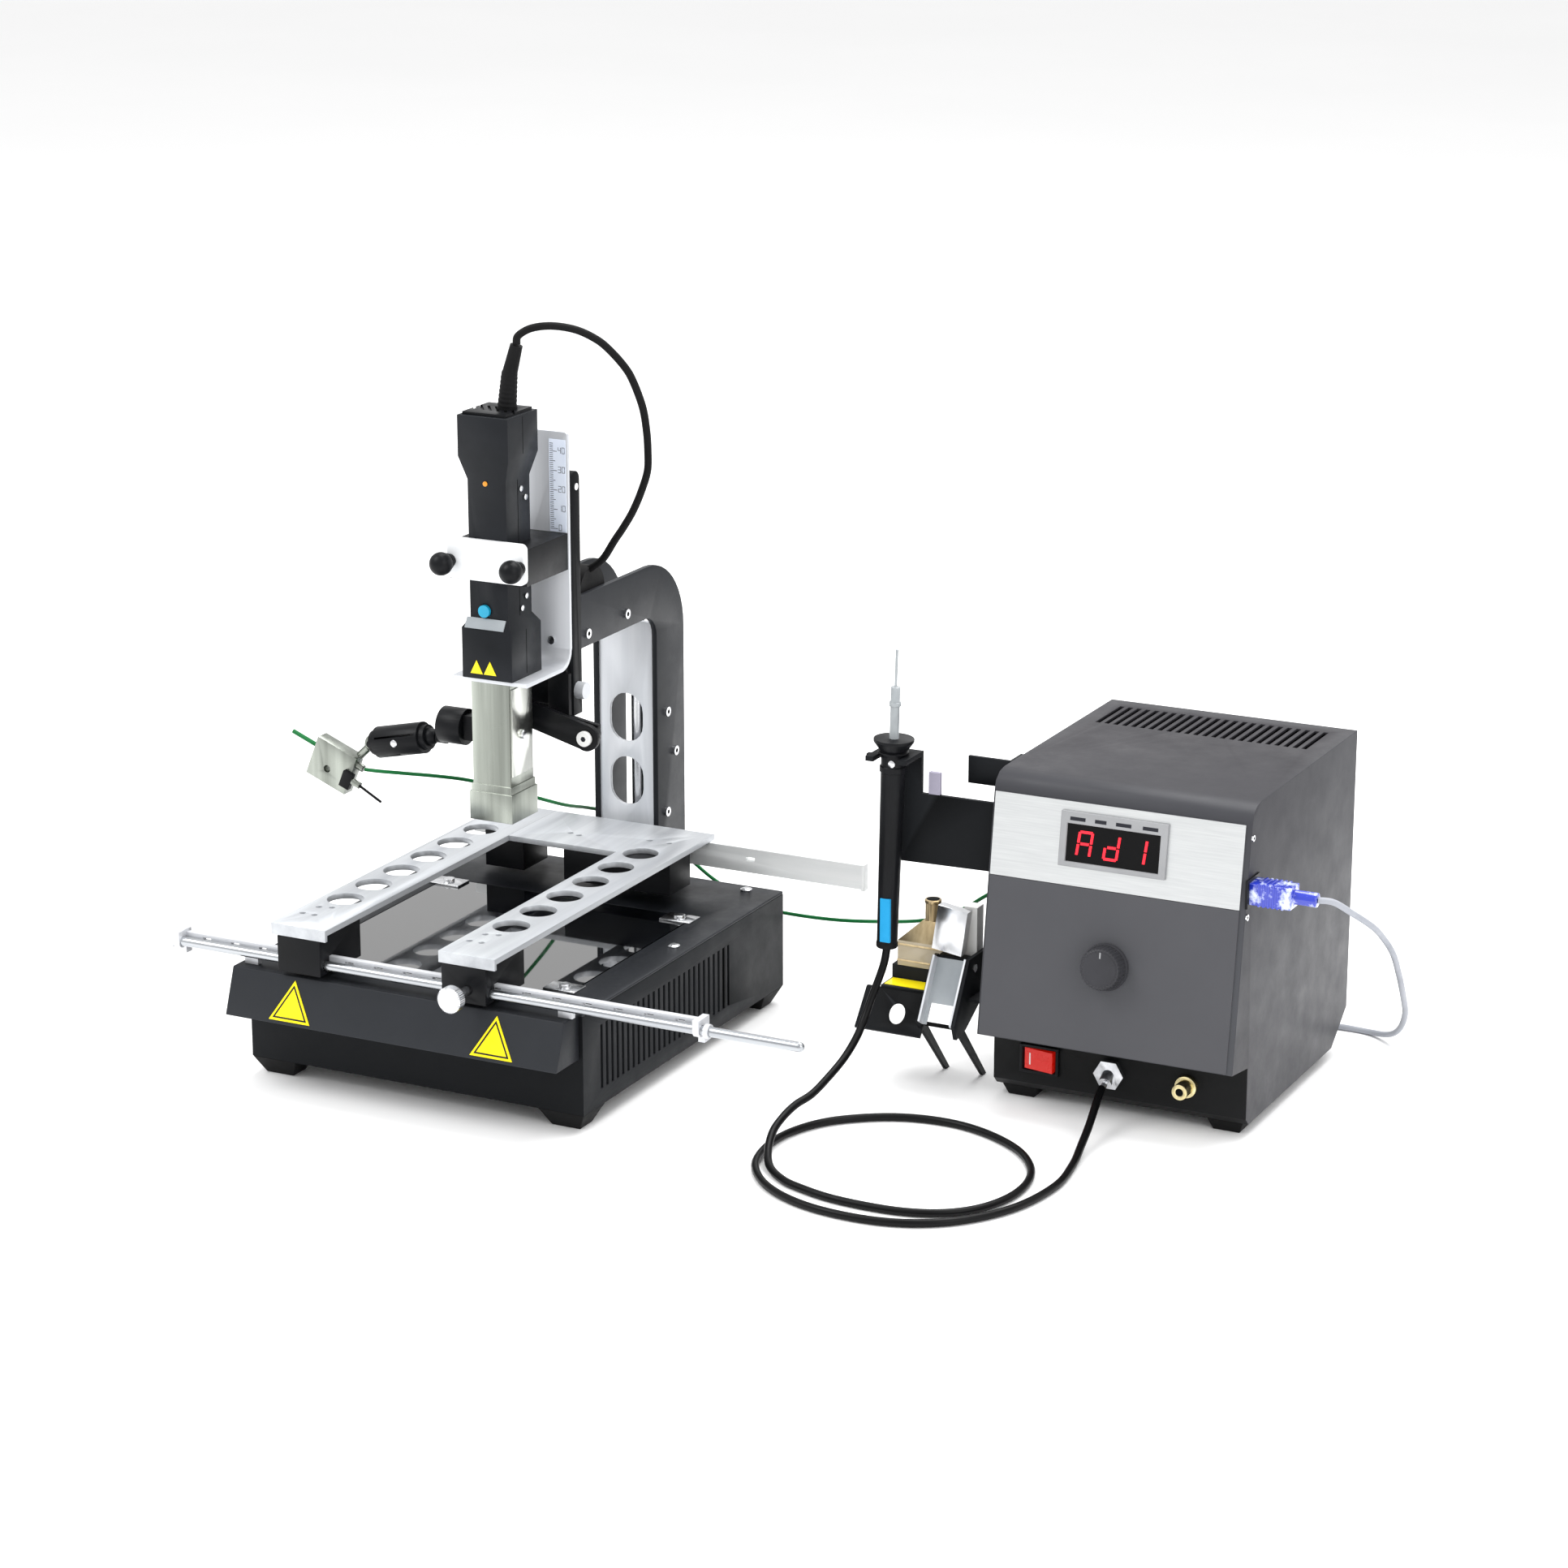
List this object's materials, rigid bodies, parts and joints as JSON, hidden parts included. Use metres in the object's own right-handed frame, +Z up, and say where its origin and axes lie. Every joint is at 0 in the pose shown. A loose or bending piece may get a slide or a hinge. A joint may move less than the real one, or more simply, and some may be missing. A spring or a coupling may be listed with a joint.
{
  "type": "hot air rework station",
  "caption": "Hot air rework station: heated base with a sliding board holder, hot air head on a vertical rail, sensor arm, control unit with display and a suction pen.",
  "frame": {"origin": "on the table, under the middle of the whole station without its free data lead", "axes": "+X from the rework base to the control unit, +Y to the back, +Z up"},
  "size_m": [0.5796, 0.3914, 0.3815],
  "materials": {
    "dark_paint": "satin",
    "yellow_print": "gloss",
    "black_glass": "gloss",
    "bright_steel": "satin",
    "aluminium": "satin",
    "black_plastic": "satin",
    "ruler_print": "satin",
    "blue_plastic": "gloss",
    "black_rubber": "matte",
    "green_plastic": "gloss",
    "grey_print": "satin",
    "red_light": "gloss",
    "grey_knob": "satin",
    "brass": "polished",
    "grey_cord": "matte"
  },
  "bodies": {
    "root": {"base_tray": "dark_paint", "base_cover": "dark_paint", "warning_triangles": "yellow_print", "heater_glass": "black_glass", "glass_clips": "bright_steel", "reflector_tray": "bright_steel", "front_strip": "aluminium", "front_rod": "bright_steel", "rail_clips": "aluminium", "rear_strip": "aluminium", "column_plates": "dark_paint", "column_panel": "aluminium", "column_rod": "bright_steel", "cord_gland": "black_plastic", "guide_rail": "dark_paint", "head_cord": "black_rubber", "sensor_lead": "green_plastic", "unit_shell": "dark_paint", "silver_panel": "aluminium", "grey_panel": "grey_print", "display_bezel": "grey_print", "display_digits": "red_light", "switch_frame": "black_plastic", "unit_ports": "brass", "usb_plugs": "blue_plastic", "usb_lead": "grey_cord", "usb_coil": "grey_cord", "pen_holder": "dark_paint", "pen_hose": "black_rubber", "nozzle_rack": "dark_paint", "rack_channel": "bright_steel", "spare_nozzles": "bright_steel", "feet": "black_rubber", "screws": "bright_steel"},
    "left_arm_body": {"left_arm": "aluminium", "left_blocks": "black_plastic"},
    "right_arm_body": {"right_arm": "aluminium", "right_blocks": "black_plastic"},
    "arm_clamp_body": {"arm_clamp_knob": "aluminium"},
    "head_body": {"carriage": "black_plastic", "head_bracket": "aluminium", "ruler_strip": "ruler_print", "clamp_yoke": "black_plastic", "clamp_plate": "aluminium", "head_shell": "black_plastic", "head_vent_cap": "black_plastic", "head_trim": "yellow_print", "cord_boot": "black_rubber", "nozzle": "bright_steel", "sensor_mount": "black_plastic"},
    "lock_screw_body": {"lock_screw": "bright_steel"},
    "clamp_left_body": {"clamp_knob_left": "black_plastic"},
    "clamp_right_body": {"clamp_knob_right": "black_plastic"},
    "head_button_body": {"head_button": "blue_plastic"},
    "sensor_arm_body": {"sensor_arm": "black_plastic"},
    "sensor_link_body": {"sensor_link": "black_plastic"},
    "sensor_holder_body": {"sensor_holder": "bright_steel"},
    "knob_body": {"control_knob": "grey_knob"},
    "rocker_body": {"switch_rocker": "red_light"},
    "pen_body": {"suction_pen": "black_plastic"}
  },
  "joints": [
    {"name": "left_arm_slide", "type": "slide", "parent": "root", "child": "left_arm_body", "axis": [1, 0, 0], "range_m": [-0.03, 0]},
    {"name": "right_arm_slide", "type": "slide", "parent": "root", "child": "right_arm_body", "axis": [1, 0, 0], "range_m": [0, 0.07]},
    {"name": "arm_clamp_turn", "type": "hinge", "parent": "right_arm_body", "child": "arm_clamp_body", "pos_m": [-0.086, -0.15, 0.0718], "axis": [0, 1, 0], "range_deg": [-720, 0]},
    {"name": "head_slide", "type": "slide", "parent": "root", "child": "head_body", "axis": [0, 0, 1], "range_m": [-0.03, 0.035], "deforming": ["head_cord", "sensor_lead"]},
    {"name": "lock_screw_turn", "type": "hinge", "parent": "root", "child": "lock_screw_body", "pos_m": [-0.104, 0.0076, 0.185], "axis": [1, 0, 0], "range_deg": [-360, 0]},
    {"name": "clamp_left_turn", "type": "hinge", "parent": "head_body", "child": "clamp_left_body", "pos_m": [-0.1482, -0.05, 0.261], "axis": [0, 1, 0], "range_deg": [-720, 0]},
    {"name": "clamp_right_turn", "type": "hinge", "parent": "head_body", "child": "clamp_right_body", "pos_m": [-0.1078, -0.05, 0.261], "axis": [0, 1, 0], "range_deg": [-720, 0]},
    {"name": "head_button_press", "type": "slide", "parent": "head_body", "child": "head_button_body", "axis": [0, 1, 0], "range_m": [0, 0.0012], "stiffness_N_per_m": 600},
    {"name": "sensor_arm_swing", "type": "hinge", "parent": "head_body", "child": "sensor_arm_body", "pos_m": [-0.09, -0.014, 0.167], "axis": [0, 1, 0], "range_deg": [0, 12]},
    {"name": "sensor_link_swing", "type": "hinge", "parent": "sensor_arm_body", "child": "sensor_link_body", "pos_m": [-0.1732, -0.03, 0.161], "axis": [0, 1, 0], "range_deg": [0, 15]},
    {"name": "sensor_holder_swing", "type": "hinge", "parent": "sensor_link_body", "child": "sensor_holder_body", "pos_m": [-0.2085, -0.03, 0.1532], "axis": [0, 1, 0], "range_deg": [0, 15]},
    {"name": "control_knob_turn", "type": "hinge", "parent": "root", "child": "knob_body", "pos_m": [0.1936, -0.00323, 0.08378], "axis": [0, -0.9902, 0.1399], "continuous": true},
    {"name": "power_switch_rock", "type": "hinge", "parent": "root", "child": "rocker_body", "pos_m": [0.1527, 0.0122, 0.0237], "axis": [0, 0, 1], "range_deg": [0, 20]},
    {"name": "pen_lift", "type": "slide", "parent": "root", "child": "pen_body", "axis": [0.0279, 0, 0.9996], "range_m": [0, 0.06], "deforming": ["pen_hose"]}
  ]
}
